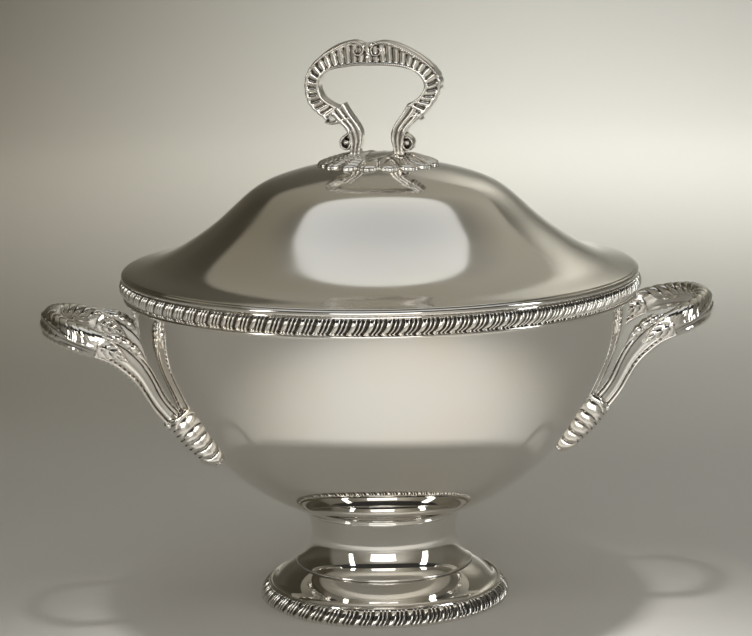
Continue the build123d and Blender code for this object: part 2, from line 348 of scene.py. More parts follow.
def make_rim_border():
    r, low, top = RIM_BORDER_HIGH.x, RIM_BORDER_LOW.z, RIM_BORDER_HIGH.z
    bead = 1.15
    under = arc((r - 3.1, low + bead), bead, -90, 60, 9)
    face = spline([(r - 3.0, low + 2.3), (r - 0.7, low + 4.6), (r, low + 7.0), (r - 0.6, low + 9.2),
                   (r - 2.2, top)], 28, (0.8, 1), (-1, 0.2))
    inner = [(BOWL_RADIUS - 0.9, top), (BOWL_RADIUS - 1.1, (top + low) / 2), (BOWL_RADIUS - 1.9, low)]
    relief = border_relief(RIM_REPEATS, low + 2.4, top - 0.1, height=1.5, lean=0.42)
    piece = turned("rim_border", bordered(under, face, inner), relief, RIM_REPEATS * RIM_STEPS)
    finish_piece(piece, "bowl", "border_silver", BORDER, "rim_gadroon_border")


def make_foot_border():
    r, top = FOOT_BORDER_HIGH.x, FOOT_BORDER_HIGH.z
    bead = 0.9
    over = arc((62.9, top - bead), bead, 180, 20, 8)
    face = spline([(64.0, top - 1.3), (66.4, top - 3.2), (67.9, top - 5.4), (r, 1.9)], 26,
                  (1, -0.4), (0.1, -1))
    under = [(r - 0.2, 0.6), (r - 0.9, 0.0), (66.6, 0.0), (62.2, top - 2.4)]
    relief = border_relief(FOOT_REPEATS, 0.5, top - 1.4, height=1.4, lean=0.35)
    piece = turned("foot_border", bordered(over, face, under), relief, FOOT_REPEATS * FOOT_STEPS)
    finish_piece(piece, "bowl", "border_silver", BORDER, "foot_gadroon_border")


# ---- foot ---------------------------------------------------------------------------------
NECK_CURVE = [(42.6, 50.5), (40.6, 42.0), (39.9, 35.0), (41.8, 28.0), (45.4, 22.8), (48.6, 20.2)]
BASE_CURVE = [(48.6, 19.0), (53.6, 15.8), (58.6, 11.6), (60.4, 9.9), (62.8, 8.8)]
FOOT_SHIFT = 1.28           # inner side of the foot's metal, moved in and down from the outer one
SEAM_WIRE = 1.0             # radius of the wire
SEAM_DROP = 0.15            # how far it lies below the middle of its CAD piece


def make_foot():
    neck = spline(NECK_CURVE, 60)
    inner = (neck - (FOOT_SHIFT, FOOT_SHIFT))[::-1]
    edge = spline([neck[-1], neck[-1] - (0.2, 0.9), inner[0]], 5)[1:-1]
    piece = turned("pedestal_neck", np.vstack([neck, edge, inner]))
    finish_piece(piece, "bowl", "spun_silver", SPUN, "foot_neck")
    base = spline(BASE_CURVE, 44)
    inside = (base - (FOOT_SHIFT, FOOT_SHIFT))[::-1]
    bottom = [(66.4, 0.0), (65.0, 0.0)]
    skirt = np.vstack([line(base[-1], (66.6, 0.05), 6)[1:], bottom, line((64.8, 0.2), inside[0], 6)])
    piece = turned("pedestal_base", np.vstack([base, skirt, inside]))
    finish_piece(piece, "bowl", "spun_silver", SPUN, "foot_base")
    low, high = box_mm("foot_seam_wire")
    wire_place = (high.x - SEAM_WIRE, (low.z + high.z) / 2 - SEAM_DROP)
    piece = turned("foot_seam", arc(wire_place, SEAM_WIRE, 0, 345, 24))
    finish_piece(piece, "bowl", "wire_silver", WIRE, "foot_seam_wire")


# ---- lid ----------------------------------------------------------------------------------
LID_CURVE = [(0, 241.0), (30, 238.4), (52, 233.0), (64, 227.9), (75, 219.6), (88, 208.0), (100, 199.2),
             (112, 192.0), (124, 187.0), (138.2, 183.6)]
LID_BEAD = 1.6              # radius of the bead round the lid's edge
BEZEL_THICKNESS = 1.4
LIP_BEVEL = 0.3
BEZEL_BEVEL = 0.4


def lid_curve(count):
    """The outside of the dome from its middle to its edge, as (radius, height)."""
    return spline(LID_CURVE, count, (1, 0), (1, -0.28))


def make_lid():
    outside = lid_curve(150)
    outer, inner = LID_HIGH.x, LID_HIGH.x - SHEET
    lip = [(outer, RIM_Z + LIP_BEVEL), (outer - LIP_BEVEL, RIM_Z), (inner + LIP_BEVEL, RIM_Z),
           (inner, RIM_Z + LIP_BEVEL)]
    inside = (outside - (0, SHEET))[::-1]
    inside = inside[inside[:, 0] < inner]
    section = np.vstack([outside, lip, inside])
    finish_piece(turned_from_axis("lid", section), "lid", "spun_silver", LID_SPUN, "lid_dome")
    wire = arc((LID_EDGE_HIGH.x - LID_BEAD, RIM_Z + LID_BEAD), LID_BEAD, 0, 350, 36)
    finish_piece(turned("lid_bead", wire), "lid", "wire_silver", WIRE, "lid_edge_bead")
    outer, inner = BEZEL_HIGH.x, BEZEL_HIGH.x - BEZEL_THICKNESS
    low, high = BEZEL_LOW.z, BEZEL_HIGH.z
    ring = [(outer, high), (outer, low + BEZEL_BEVEL), (outer - BEZEL_BEVEL, low),
            (inner + BEZEL_BEVEL, low), (inner, low + BEZEL_BEVEL), (inner, high)]
    finish_piece(turned("lid_ring", ring), "lid", "spun_silver", SPUN, "lid_bezel")


# ---- cast pieces --------------------------------------------------------------------------
VOXEL = 0.3                 # grain of the fused castings
LOOP_VOXEL = 0.34           # a little coarser for the lid handle, whose mesh is the largest


def swept(places, across, outward, sections):
    """A closed bar. Each section point (u, n) lies u along across and n along outward from its place."""
    points = places[:, None] + sections[..., :1] * across[:, None] + sections[..., 1:] * outward[:, None]
    rows, columns = points.shape[:2]
    faces = grid_faces(rows, columns, False, True)
    faces.append(tuple(range(columns - 1, -1, -1)))
    faces.append(tuple(range((rows - 1) * columns, rows * columns)))
    return points.reshape(-1, 3), faces


def ball(place, radii):
    """A closed ellipsoid."""
    count = 24
    u = np.linspace(0, math.pi, count)[1:-1, None]
    v = full_turn(count * 2)[None]
    sphere = np.stack([np.sin(u) * np.cos(v), np.sin(u) * np.sin(v), np.cos(u) + 0 * v], -1)
    points = (np.array(place) + sphere * np.array(radii)).reshape(-1, 3)
    faces = [f[::-1] for f in grid_faces(count - 2, count * 2, False, True)]
    faces.append(tuple(range(count * 2)))
    faces.append(tuple(range(len(points) - 1, len(points) - count * 2 - 1, -1)))
    return points, faces


def smoothed(points, edges, rounds):
    """Moves each point halfway to its neighbours' middle, rounds times."""
    ends = np.concatenate([edges, edges[:, ::-1]])
    count = np.bincount(ends[:, 0], minlength=len(points))[:, None]
    for _ in range(rounds):
        total = np.stack([np.bincount(ends[:, 0], points[ends[:, 1], k], len(points)) for k in range(3)], 1)
        points = points + 0.5 * (total / np.maximum(count, 1) - points)
    return points


def fused(parts, voxel=VOXEL, polish=2, hollow_depth=0.22):
    """One casting from overlapping closed parts, softened a little: its points, faces and hollows.

    A point counts as fully hollow where it lies about hollow_depth below its smoothed surroundings."""
    vertices, faces, first = [], [], 0
    for points, part_faces in parts:
        vertices.append(points)
        faces += [tuple(first + i for i in f) for f in part_faces]
        first += len(points)
    rough = bpy.data.meshes.new("rough_casting")
    rough.from_pydata(np.vstack(vertices).tolist(), [], faces)
    holder = bpy.data.objects.new("rough_casting", rough)
    bpy.context.scene.collection.objects.link(holder)
    remesh = holder.modifiers.new("fuse", "REMESH")
    remesh.mode = "VOXEL"
    remesh.voxel_size = voxel
    solid = holder.evaluated_get(bpy.context.evaluated_depsgraph_get()).to_mesh()
    points = np.empty(len(solid.vertices) * 3)
    solid.vertices.foreach_get("co", points)
    points = points.reshape(-1, 3)
    edges = np.empty(len(solid.edges) * 2, int)
    solid.edges.foreach_get("vertices", edges)
    edges = edges.reshape(-1, 2)
    faces = [tuple(p.vertices) for p in solid.polygons]
    points = smoothed(points, edges, polish)
    solid.vertices.foreach_set("co", points.ravel())
    solid.update()
    normals = np.array([v.normal for v in solid.vertices])
    # This hollow measure drives the tarnish and painted shade in the metal's colour.
    lifted = ((smoothed(points, edges, 14) - points) * normals).sum(1) / hollow_depth
    bpy.data.objects.remove(holder)
    return points, faces, np.clip(lifted + 0.15, 0, 1)


def cast_piece(name, casting, body, node, flip=(1, 1, 1)):
    """A piece from a casting, turned or mirrored by the signs in flip."""
    points, faces, hollow = casting
    if np.prod(flip) < 0:
        faces = [f[::-1] for f in faces]
    finish_piece(new_piece(name, points * flip, faces, hollow), body, "cast_silver", CAST, node)


PAD_SUNK = 0.4              # how far a pad reaches below the surface that it lies on


def pad(outline, height, rings):
    """A closed low relief. outline is its edge, as (x, y) round its middle.

    height(x, y, t, angle) is how far it stands up, with t from 0 in the middle to 1 at the edge."""
    steps = len(outline)
    angle = full_turn(steps)[:, None]
    t = (1 - (1 - np.linspace(0, 1, rings + 1)[1:]) ** 1.5)[None]
    x, y = outline[:, :1] * t, outline[:, 1:] * t
    top = np.stack([x, y, height(x, y, t, angle)], -1)
    under = np.stack([outline[:, 0], outline[:, 1], np.full(steps, -PAD_SUNK)], -1)[:, None]
    ring = np.concatenate([top, under], 1)
    centre = np.zeros((1, 1))
    middle = float(height(centre, centre, centre, angle[:1])[0, 0])
    count = ring.shape[1]
    faces = grid_faces(steps, count, True, False)
    n = steps * count
    for i in range(steps):
        j = (i + 1) % steps
        faces.append((n, i * count, j * count))
        faces.append((n + 1, (j + 1) * count - 1, (i + 1) * count - 1))
    return np.vstack([ring.reshape(-1, 3), [(0, 0, middle), (0, 0, -PAD_SUNK)]]), faces


def bead_fall(distance, radius):
    """How far the top of a round bead has fallen away at a distance, 0 to 2 radii, from its edge."""
    return radius - np.sqrt(np.clip(radius**2 - (distance - radius) ** 2, 0, None))


def channel(width, thickness, bead, depth, relief):
    """Sections of a bar with a round bead along both edges and a channel between, carrying relief.

    relief(across) is the height in the channel at across, 0 to 1; both faces are the same."""
    across = 0.5 - 0.5 * np.cos(np.linspace(0, math.pi, 45))
    a = width[:, None] * across
    edge = np.minimum(a, width[:, None] - a)
    half = thickness[:, None] / 2
    high = half - bead_fall(edge, bead)
    low = half - depth + relief(across[None])
    face = np.where(edge < bead, high, np.where(edge < 2 * bead, np.maximum(high, low), low))
    front = np.stack([a, face], -1)
    back = np.stack([a, -face], -1)[:, ::-1]
    return np.concatenate([front, back], 1)


def lobes(x, sharp=0.5):
    """Round ridges one unit apart, from 0 in the valleys to 1 on the crests."""
    return np.clip(1 - (2 * np.abs(x % 1 - 0.5)) ** 2, 0, 1) ** sharp


# ---- lid handle ---------------------------------------------------------------------------
LOOP_TURN = math.radians(-18.5)
LOOP_DEPTH = 11.0
LOOP_RIB = 3.8              # spacing of the ribs along the loop
# Stations round the loop from its lower left end: inner edge, then outer edge, as (x, z) in its plane.
LOOP_RAILS = [
    (-20.5, 269.5, -27.0, 262.0),
    (-25.7, 272.0, -32.5, 266.5),
    (-29.2, 275.0, -36.6, 271.0),
    (-30.9, 279.5, -38.4, 277.5),
    (-30.4, 283.4, -38.2, 284.4),
    (-28.0, 286.8, -35.0, 291.2),
    (-23.5, 289.2, -29.0, 296.6),
    (-17.0, 290.4, -21.0, 300.8),
    (-10.5, 291.2, -12.5, 303.6),
    (-5.0, 291.4, -5.2, 303.0),
    (1.0, 291.4, 1.6, 304.2),
    (8.4, 291.2, 10.0, 303.0),
    (15.0, 290.3, 18.0, 299.2),
    (20.5, 288.5, 26.5, 294.3),
    (24.8, 285.0, 33.0, 288.8),
    (26.4, 280.7, 35.4, 282.5),
    (25.2, 277.0, 34.2, 276.5),
    (21.9, 273.6, 30.2, 270.2),
    (17.0, 270.8, 23.8, 263.4),
]
LEG_RAILS = [
    (17.5, 271.5, 24.5, 265.0),
    (14.4, 266.3, 20.8, 261.2),
    (10.6, 261.0, 17.6, 258.2),
    (8.2, 256.4, 15.6, 254.4),
    (7.8, 252.0, 14.8, 250.4),
    (8.8, 248.2, 14.6, 247.0),
    (9.4, 243.6, 15.2, 243.6),
]


# Curled leaf edges, as (x, z) places along each, the bar's radius at even stations along it, and its
# half depth across the loop. The first two run along the top and curl inwards, where they nearly meet.
LOOP_SCROLLS = [
    ([(-35.0, 290.4), (-28.6, 296.2), (-22.0, 300.4), (-14.6, 303.5), (-9.0, 303.6),
      (-6.2, 301.2), (-6.9, 298.0), (-9.6, 297.0), (-11.4, 299.0), (-9.9, 300.6)],
     (0.9, 1.2, 1.4, 1.6, 1.4, 1.2, 1.1, 1.0, 0.9, 0.8), 6.2),
    ([(33.8, 287.0), (27.4, 293.2), (18.6, 298.6), (10.0, 302.6), (3.0, 303.7),
      (-1.4, 301.4), (-1.6, 298.0), (1.0, 296.8), (3.3, 298.8), (2.2, 300.8)],
     (0.9, 1.2, 1.4, 1.6, 1.6, 1.3, 1.1, 1.0, 0.9, 0.8), 6.2),
    ([(-14.0, 263.6), (-19.4, 262.0), (-24.4, 260.5), (-28.2, 261.0)], (0.9, 1.2, 1.3, 0.7), 4.8),
    ([(13.8, 257.5), (15.2, 261.5), (18.4, 264.3), (22.0, 264.6), (24.8, 262.4)],
     (0.7, 1.0, 1.2, 1.2, 0.7), 4.8),
]
LEG_VOLUTE = ((14.0, 256.0), (16.6, 254.0), (19.2, 251.6), (19.0, 247.8), (16.0, 246.8), (14.4, 249.4))
LEG_VOLUTE_RADII = (0.7, 0.9, 1.0, 1.0, 0.9, 0.8)


def in_loop_plane(points):
    """Turns (x, out, z) points of the loop's own plane into the tureen's frame."""
    x, out, z = points[..., 0], points[..., 1], points[..., 2]
    c, s = math.cos(LOOP_TURN), math.sin(LOOP_TURN)
    return np.stack([x * c + out * s, x * s - out * c, z], -1)


def flat_rails(stations, count, mirror_x):
    """Places on the inner rail, directions across to the outer one and widths, in the loop's plane."""
    rails = spline(stations, count)
    if mirror_x:
        rails = rails * (-1, 1, -1, 1)      # x is the first and the third number
    inner = np.stack([rails[:, 0], 0 * rails[:, 0], rails[:, 1]], 1)
    outer = np.stack([rails[:, 2], 0 * rails[:, 0], rails[:, 3]], 1)
    width = np.linalg.norm(outer - inner, axis=1)
    return inner, (outer - inner) / width[:, None], width


def run_length(points):
    """The distance along a line at each of its points."""
    return np.concatenate([[0], np.cumsum(np.linalg.norm(np.diff(points, axis=0), axis=1))])


OUT = np.array([[0.0, 1.0, 0.0]])    # towards the viewer, out of the loop's plane


def loop_band():
    """The loop from one leg round to the other, with leaning ribs in its channel."""
    inner, across, width = flat_rails(LOOP_RAILS, 520, False)
    run = run_length(inner + across * width[:, None] / 2)

    def ribs(t):
        lean = 0.55 * (t - 0.5) * np.sign(inner[:, :1] + 5)
        height = lobes(run[:, None] / LOOP_RIB + lean, 0.6)
        ends = smooth_step(t, 0.06, 0.2) * (1 - smooth_step(t, 0.84, 0.97))
        return 1.75 * height * (0.35 + 0.65 * ends)

    thick = np.full(len(run), LOOP_DEPTH)
    width = width + 0.7 * (lobes(run / LOOP_RIB + 0.25, 0.6) - 0.6)
    bar = channel(width, thick, bead=0.95, depth=2.1, relief=ribs)
    return swept(inner, across, np.repeat(OUT, len(run), 0), bar)


def loop_leg(mirror_x):
    """A leg of the loop, with three reeds in its channel."""
    inner, across, width = flat_rails(LEG_RAILS, 150, mirror_x)

    def reeds(t):
        return 1.5 * lobes(t * 3, 0.5)

    thick = np.linspace(10.0, 8.4, len(width))
    bar = channel(width, thick, bead=0.9, depth=1.5, relief=reeds)
    return swept(inner, across, np.repeat(OUT, len(width), 0), bar)


def scroll(points, radii, depth):
    """A curled leaf edge: a bar along (x, z) points, round seen from the front and depth deep each way."""
    count = 90
    path = spline(points, count)
    path = np.stack([path[:, 0], 0 * path[:, 0], path[:, 1]], 1)
    radius = spline([(i, r) for i, r in enumerate(radii)], count)[:, 1]
    tangent = np.gradient(path, axis=0)
    tangent /= np.linalg.norm(tangent, axis=1)[:, None]
    across = np.cross(tangent, OUT[0])
    angle = full_turn(28)
    sections = np.stack([radius[:, None] * np.cos(angle), depth * np.sin(angle) + 0 * radius[:, None]], -1)
    return swept(path, across, np.repeat(OUT, count, 0), sections)


def make_lid_handle():
    parts = [loop_band(), loop_leg(False), loop_leg(True)]
    parts += [scroll(points, radii, depth) for points, radii, depth in LOOP_SCROLLS]
    parts.append(ball((-4.2, 0, 295.6), (1.5, 6.1, 4.2)))
    for side in (-1, 1):
        parts.append(scroll([(side * x, z) for x, z in LEG_VOLUTE], LEG_VOLUTE_RADII, 5.2))
        parts.append(ball((side * 16.8, 0, 250.2), (2.0, 5.4, 2.2)))
    parts = [(in_loop_plane(points), faces) for points, faces in parts]
    cast_piece("lid_handle", fused(parts, voxel=LOOP_VOXEL), "lid", "lid_handle_loop")


# ---- leaf plate ---------------------------------------------------------------------------
PLATE_HALF = (33.4, 30.6)   # to the tips, along the loop and across it
PLATE_LEAVES = 16           # leaf tips round the plate
PLATE_RIBS = 9.0 / math.pi  # ribs for each radian round a leg's foot
PLATE_HIGHEST = 4.9
LEG_X = 12.2


def on_dome(points):
    """Puts (x, y, height) points on the lid's outside, turned with the loop handle."""
    x, y, height = points[:, 0], points[:, 1], points[:, 2]
    curve = lid_curve(300)
    z = np.interp(np.hypot(x, y), curve[:, 0], curve[:, 1]) + height
    c, s = math.cos(LOOP_TURN), math.sin(LOOP_TURN)
    return np.stack([x * c - y * s, x * s + y * c, z], 1)


def make_leaf_plate():
    """The leaves under the loop: beaded on the left, fan ribs on the right and a boss between the legs."""
    angle = full_turn(1440)
    tips = lobes(angle / (2 * math.pi) * PLATE_LEAVES + 0.5, 0.6)
    notches = lobes(angle / (2 * math.pi) * PLATE_LEAVES * 3 + 0.5, 0.6)
    reach = 0.83 + 0.14 * tips + 0.03 * notches
    outline = np.stack([PLATE_HALF[0] * np.cos(angle), PLATE_HALF[1] * np.sin(angle)], 1) * reach[:, None]

    def height(x, y, t, around):
        root = np.hypot(np.abs(x) - LEG_X, y)
        fan = np.arctan2(y, np.abs(x) - LEG_X + 1e-6)
        spread = smooth_step(root, 3.0, 8.0)
        leaf = 1.5 * lobes(around / (2 * math.pi) * PLATE_LEAVES + 0.5, 0.5) * smooth_step(t, 0.3, 0.7)
        left = smooth_step(-x, 2, 6)
        ribs = 0.8 * lobes(fan * PLATE_RIBS, 0.7) * spread * (1 - left)
        grain = 0.8 * lobes(fan * PLATE_RIBS + 0.3 * root, 0.7) * lobes(root / 2.6, 0.7) * spread * left
        mound = 1.9 * np.exp(-((root / 6.5) ** 2)) + 1.5 * (1 - smooth_step(t, 0.2, 0.95))
        boss_at = np.hypot((x - 0.8) / 6.4, y / 19.0)
        boss = 1 - smooth_step(boss_at, 0.75, 1.0)
        boss_height = 1.6 + 0.9 * np.clip(1 - boss_at**2, 0, 1) ** 0.5
        relief = (ribs + grain + leaf) * (1 - boss) + boss * boss_height
        edge = np.clip(1 - t**6, 0, 1) ** 0.5
        return np.minimum(0.6 + edge * (0.6 + mound * (1 - boss) + relief), PLATE_HIGHEST)

    points, faces = pad(outline, height, 90)
    cast_piece("lid_leaf_plate", fused([(on_dome(points), faces)], polish=1), "lid", "lid_handle_leaf_plate")


# ---- side handles -------------------------------------------------------------------------
# The right-hand handle's front arm and mount and its grip are modelled. The rest are mirrored or turned
# copies. x runs out from the bowl and y across.
ARM_Y = 35.0
# Places along an arm from the bowl outwards, as (x, z, width, thickness).
ARM_LINE = [
    (104.5, 100.0, 9.6, 7.4),
    (112.0, 107.6, 9.2, 6.8),
    (118.0, 114.0, 8.8, 6.4),
    (122.8, 120.4, 8.8, 6.0),
    (127.0, 128.2, 9.4, 5.8),
    (131.4, 135.4, 10.6, 5.8),
    (137.0, 141.8, 12.0, 6.0),
    (144.0, 147.4, 12.8, 6.4),
    (153.0, 151.6, 13.2, 7.0),
]
GRIP_START = (152.0, 151.35)    # x and z where the grip meets the arms
GRIP_REACH = 28.0           # along the tilted plane, from there to the middle of the bend
GRIP_SLOPE = 0.3            # rise per unit run at the grip
GRIP_LOBE = 7.2             # spacing of the leaf's lobes round the grip
GRIP_HALF_WIDTH = 6.8
GRIP_HALF_THICK = 4.2
EDGE_LOBE = 3.3             # spacing of the small gadroons along the lower edge
TONGUE_REACH = 19.0         # how far the grip's leaf runs down over an arm
CAST_HOLLOW = 0.16          # hollow_depth of the arms and grips
MOUNT_HOLLOW = 0.13         # and of the mounts


def unit(vectors):
    """The vectors at length 1."""
    return vectors / np.linalg.norm(vectors, axis=-1, keepdims=True)


def edge_roll(line_points, up, out, radius, flatten):
    """A bar along an edge: radius, at each place, is its reach along up, and flatten times it along out."""
    angle = full_turn(22)
    ring = np.stack([radius[:, None] * np.cos(angle), flatten * radius[:, None] * np.sin(angle)], -1)
    return swept(line_points, up, out, ring)


def arm_line():
    """The front arm's middle line, its across directions and its widths and thicknesses."""
    track = spline(ARM_LINE, 260)
    middle = np.stack([track[:, 0], np.full(len(track), -ARM_Y), track[:, 1]], 1)
    out = np.repeat([[0.0, -1.0, 0.0]], len(track), 0)
    up = np.cross(out, unit(np.gradient(middle, axis=0)))
    return middle, up, out, track[:, 2], track[:, 3]


def arm_casting():
    """The front arm: a channelled bar with a gadrooned lower edge and a curled leaf on its upper edge."""
    middle, up, out, width, thick = arm_line()
    run = run_length(middle)
    low = middle - up * width[:, None] / 2
    high = middle + up * width[:, None] / 2

    def towards_grip(start, end):
        """Rises from 0 to 1 between two distances short of the grip."""
        return smooth_step(run, run[-1] - start, run[-1] - end)

    def hollow_face(t):
        return 1.1 * (2 * t - 1) ** 2 + 0 * run[:, None]

    parts = [swept(low, up, out, channel(width, thick, bead=0.8, depth=2.0, relief=hollow_face))]
    near_grip = towards_grip(42, 30)
    fade = 1 - 0.5 * towards_grip(5, 0)
    beads = fade * (1.05 + near_grip * (0.95 * lobes(run / EDGE_LOBE, 0.5) - 0.15))
    parts.append(edge_roll(low + up * 0.8, up, out, beads, 1.5))
    parts.append(edge_roll(high - up * 0.7, up, out, fade * (1.05 + 0.15 * near_grip), 1.4))
    leaf = towards_grip(27, 15) * (1 - towards_grip(9, 1))
    curl = 0.3 + leaf * (1.8 + 0.8 * lobes((run - run[-1]) / 4.6, 0.5))
    parts.append(edge_roll(high + up * 0.9 + out * 1.1, up, out, curl, 1.25))
    parts.append(edge_roll(high + up * 0.3 - out * 1.4, up, out, 0.85 * curl, 1.1))
    collar = smooth_step(run, 0, 1) * (1 - smooth_step(run, 15, 18))
    rings = 0.4 + collar * (1.5 + 0.8 * lobes(run / 4.2, 0.5))
    parts.append(edge_roll(low + up * 0.6, up, out, rings, 1.5))
    parts.append(edge_roll(high - up * 0.6, up, out, rings, 1.5))
    return fused(parts, hollow_depth=CAST_HOLLOW)


def leaf_tongue():
    """The pointed, veined end of the grip's leaf, lying over the front arm."""
    middle, up, out, width, thick = arm_line()
    run = run_length(middle)
    keep = run > run[-1] - TONGUE_REACH
    middle, up, out, width, thick, run = (v[keep] for v in (middle, up, out, width, thick, run))
    to_point = ((run[-1] - run) / TONGUE_REACH)[:, None]
    half_width = (width[:, None] / 2 - 0.2) * (1 - to_point**1.4) + 0.3
    half_thick = (thick[:, None] / 2 + 0.7) * (1 - 0.22 * to_point)
    angle = full_turn(80)[None]
    c, s = np.cos(angle), np.sin(angle)
    u = half_width * np.sign(s) * np.abs(s) ** 0.8
    n = half_thick * np.sign(c) * np.abs(c) ** 0.5
    veins = 0.8 * lobes(run[:, None] / 4.4 + np.abs(s) * 1.5, 0.4) + 0.7 * np.exp(-((u / 0.8) ** 2))
    return swept(middle, up, out, np.stack([u, n + c * (veins - 0.5)], -1))


def grip_casting():
    """The grip: a leaf wraps its upper half, over a channel with a gadrooned lower edge."""
    turn = np.linspace(-94, 94, 460) * math.pi / 180     # a little past each arm's end
    flat = math.hypot(1, GRIP_SLOPE)
    level = np.array([1, 0, GRIP_SLOPE]) / flat
    up = np.repeat([[-GRIP_SLOPE / flat, 0, 1 / flat]], len(turn), 0)
    start = np.array([GRIP_START[0], 0, GRIP_START[1]])
    middle = start + GRIP_REACH * np.cos(turn)[:, None] * level
    middle = middle + ARM_Y * np.sin(turn)[:, None] * (0, 1, 0)
    out = np.cross(unit(np.gradient(middle, axis=0)), up)
    run = run_length(middle)
    from_tip = np.abs(run - run[-1] / 2)[:, None]
    to_end = np.minimum(run, run[-1] - run)[:, None]
    round_it = np.linspace(0, 360, 96, endpoint=False)[None]
    side = (round_it + 90) % 360 - 90                    # 0 outwards, 90 up, 180 inwards, -90 down
    c, s = np.cos(np.radians(side)), np.sin(np.radians(side))
    vein = 14 - 22 * smooth_step(from_tip, 8, 44)
    leaf = smooth_step(side, vein - 4, vein + 8) * (1 - smooth_step(side, 158, 176))
    phase = from_tip / GRIP_LOBE + (side - vein) / 75
    depth = 0.5 + 1.1 * smooth_step(side, 60, 125)
    relief = leaf * (depth * lobes(phase, 0.3) + 0.22 * lobes(phase * 3, 0.4) - 0.55)
    low_leaf = smooth_step(side, vein - 52, vein - 42) * (1 - smooth_step(side, vein - 12, vein - 2))
    low_phase = from_tip / (0.75 * GRIP_LOBE) - (side - vein) / 60
    tip = 1 - smooth_step(from_tip, 20, 34)
    low_lobes = 0.7 * lobes(low_phase, 0.3) + 0.2 * lobes(low_phase * 3, 0.5) - 0.3
    relief = relief + low_leaf * tip * low_lobes
    relief = relief + 0.9 * np.exp(-(((side - vein) / 6) ** 2))
    relief = relief - 0.5 * np.exp(-(((side - vein + 13) / 7) ** 2))
    hollow = np.exp(-(((side + 40) / 24) ** 2)) * (1 - 0.55 * tip) + 0.8 * np.exp(-(((side - 215) / 26) ** 2))
    relief = relief - 1.7 * hollow
    beads = np.exp(-(((side + 84) / 20) ** 2))
    relief = relief + beads * (lobes(run[:, None] / EDGE_LOBE / 1.25, 0.5) - 0.2)
    ends = smooth_step(to_end, 0, 11.0)
    u = GRIP_HALF_WIDTH * np.sign(s) * np.abs(s) ** (0.8 - 0.05 * ends)
    n = GRIP_HALF_THICK * np.sign(c) * np.abs(c) ** (0.5 + 0.25 * ends)
    way = unit(np.stack([u / GRIP_HALF_WIDTH**2, n / GRIP_HALF_THICK**2], -1) + 1e-9)
    section = np.stack([u, n], -1) + way * (relief * ends)[..., None]
    tongue, faces = leaf_tongue()
    rear = (tongue * (1, -1, 1), [f[::-1] for f in faces])
    return fused([swept(middle, up, out, section), (tongue, faces), rear], hollow_depth=CAST_HOLLOW)


MOUNT_Z = 100.5             # height of a mount's middle on the bowl
MOUNT_HALF = 18.0           # half its length
MOUNT_HALF_WIDTH = 7.3
MOUNT_RIB = 3.3             # spacing of its ribs


def on_bowl(points):
    """Puts (across, down, height) points on the bowl's outside, at the front arm's foot."""
    across, down, height = points[:, 0], points[:, 1], points[:, 2]
    reach = math.acos((BOWL_CENTRE_Z - MOUNT_Z) / BOWL_DEPTH)
    speed = math.hypot(BOWL_RADIUS * math.cos(reach), BOWL_DEPTH * math.sin(reach))
    at = reach - down / speed
    r, z = BOWL_RADIUS * np.sin(at), BOWL_CENTRE_Z - BOWL_DEPTH * np.cos(at)
    normal = unit(np.stack([BOWL_DEPTH * np.sin(at), -BOWL_RADIUS * np.cos(at)], 1))
    azimuth = -math.asin(ARM_Y / (BOWL_RADIUS * math.sin(reach))) + across / r
    r, z = r + height * normal[:, 0], z + height * normal[:, 1]
    return np.stack([r * np.cos(azimuth), r * np.sin(azimuth), z], 1)


def mount_casting():
    """A leaf on the bowl under an arm's foot, ribbed across, ending in a blunt palmette."""
    angle = full_turn(720)
    c, s = np.cos(angle), np.sin(angle)
    down = MOUNT_HALF * np.sign(s) * np.abs(s) ** 0.65
    taper = 1 - 0.16 * smooth_step(-down, 4, 16) + 0.04 * smooth_step(down, 6, 16)
    half = MOUNT_HALF_WIDTH * np.abs(c) ** 0.32 * taper
    scallop = 1 + 0.18 * (lobes(down / (2 * MOUNT_RIB) + 0.25, 0.5) - 0.6)
    tip = smooth_step(down, 13, 17)
    down = down + tip * 0.9 * lobes(angle / 0.3, 0.5)
    outline = np.stack([half * scallop * np.sign(c), down], 1)

    def height(x, y, t, around):
        crown = np.clip(1 - t**5, 0, 1) ** 0.4
        body = 8.0 - 3.4 * smooth_step(y, -16, 17)
        bend = y / MOUNT_RIB + 0.75 * (np.abs(x) / 7) ** 1.3
        palmette = smooth_step(y, 8.5, 11.5)
        ribs = (1 - palmette) * 1.5 * lobes(bend + 0.25, 0.35)
        fan = np.arctan2(x, y - 5.0)
        ribs = ribs + palmette * (1.2 + 1.1 * lobes(fan / 0.42 + 0.5, 0.5))
        spine = 0.9 * np.exp(-((x / 1.3) ** 2))
        return crown * (body + (ribs + spine) * (1 - 0.3 * t)) + 0.5

    points, faces = pad(outline, height, 60)
    return fused([(on_bowl(points), faces)], hollow_depth=MOUNT_HOLLOW)


def make_side_handles():
    arm, grip, mount = arm_casting(), grip_casting(), mount_casting()
    for side, outwards in (("right", 1), ("left", -1)):
        cast_piece(f"{side}_grip", grip, "bowl", f"{side}_handle_grip", (outwards, outwards, 1))
        for place, across in (("front", 1), ("rear", -1)):
            flip = (outwards, across, 1)
            cast_piece(f"{side}_{place}_arm", arm, "bowl", f"{side}_handle_{place}_arm", flip)
            cast_piece(f"{side}_{place}_leaf", mount, "bowl", f"{side}_handle_{place}_leaf_mount", flip)


make_bowl()
make_rim_border()
make_foot_border()
make_foot()
make_lid()
make_lid_handle()
make_leaf_plate()
make_side_handles()


# ---- studio -------------------------------------------------------------------------------
CAMERA_PLACE = (-0.1472, -1.2916, 0.3944)
CAMERA_LENS = 116.4
CAMERA_ANGLES = (6.39, -10.47, 0.92)     # heading, pitch and roll in degrees


